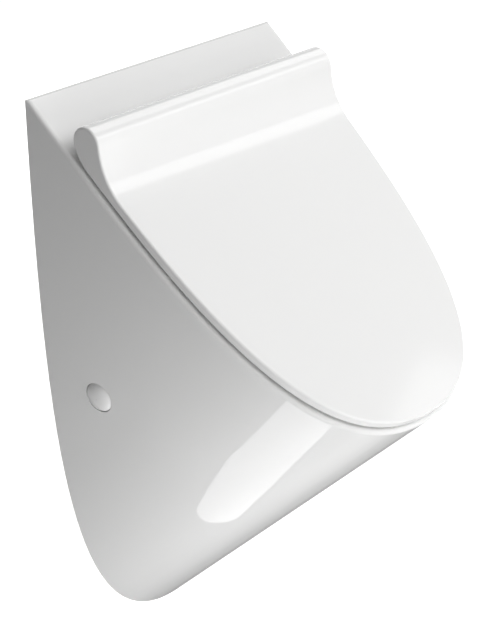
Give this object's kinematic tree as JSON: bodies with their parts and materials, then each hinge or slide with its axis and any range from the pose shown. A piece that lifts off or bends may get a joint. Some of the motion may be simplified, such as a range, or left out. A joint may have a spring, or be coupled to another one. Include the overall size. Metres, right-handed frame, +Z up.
{
  "type": "wall-hung urinal",
  "caption": "Wall-hung ceramic urinal with a sloping hinged lid, a concealed rear inlet and waste, and side screw fixings on hidden wall brackets.",
  "frame": {"origin": "midpoint between the two wall fixing holes, on the wall plane", "axes": "+Z up, +Y into the wall, so the bowl and lid face -Y; +X to the right for someone facing the wall"},
  "size_m": [0.32, 0.3842, 0.6],
  "materials": {
    "ceramic": "white glazed vitreous china, high gloss",
    "lid": "white moulded duroplast, high gloss",
    "buffer": "pale soft rubber",
    "hinge_metal": "brushed stainless steel",
    "steel": "turned stainless steel",
    "damper": "dark grey acetal",
    "rubber": "black rubber",
    "cap": "white moulded plastic, glossy",
    "bush": "natural nylon",
    "bracket": "zinc-plated steel sheet",
    "inlet_brass": "machined brass",
    "chrome": "polished chrome",
    "waste_plastic": "white polypropylene"
  },
  "bodies": {
    "urinal": {"ceramic_body": "ceramic", "hinge_arm_left": "hinge_metal", "hinge_arm_right": "hinge_metal", "hinge_shaft_left": "steel", "hinge_shaft_right": "steel", "hinge_gasket_left": "rubber", "hinge_gasket_right": "rubber", "hinge_bolt_left": "steel", "hinge_bolt_right": "steel", "hinge_plug_left": "rubber", "hinge_plug_right": "rubber", "hinge_nut_left": "steel", "hinge_nut_right": "steel", "side_cap_left": "cap", "side_cap_right": "cap", "side_bush_left": "bush", "side_bush_right": "bush", "side_screw_left": "steel", "side_screw_right": "steel", "fixing_nut_left": "steel", "fixing_nut_right": "steel", "wall_bracket_left": "bracket", "wall_bracket_right": "bracket", "inlet_pipe": "inlet_brass", "inlet_seal": "rubber", "inlet_gasket": "rubber", "inlet_nut": "inlet_brass", "water_spreader": "chrome", "strainer": "chrome", "strainer_screw": "chrome", "waste_fitting": "waste_plastic", "drain_gasket": "rubber", "lower_gasket": "rubber", "waste_nut": "waste_plastic", "trap_body": "waste_plastic", "dip_tube": "waste_plastic", "trap_nut": "waste_plastic", "trap_seal": "rubber", "outlet_pipe": "waste_plastic", "outlet_nut": "waste_plastic", "outlet_seal": "rubber"},
    "lid": {"lid": "lid", "front_buffers": "buffer", "rear_buffers": "buffer", "lid_damper_left": "damper", "lid_damper_right": "damper"}
  },
  "joints": [
    {"name": "lid_hinge", "type": "hinge", "parent": "urinal", "child": "lid", "pos_m": [0, -0.07387, 0.25785], "axis": [-1, 0, 0], "range_deg": [0, 130]}
  ]
}
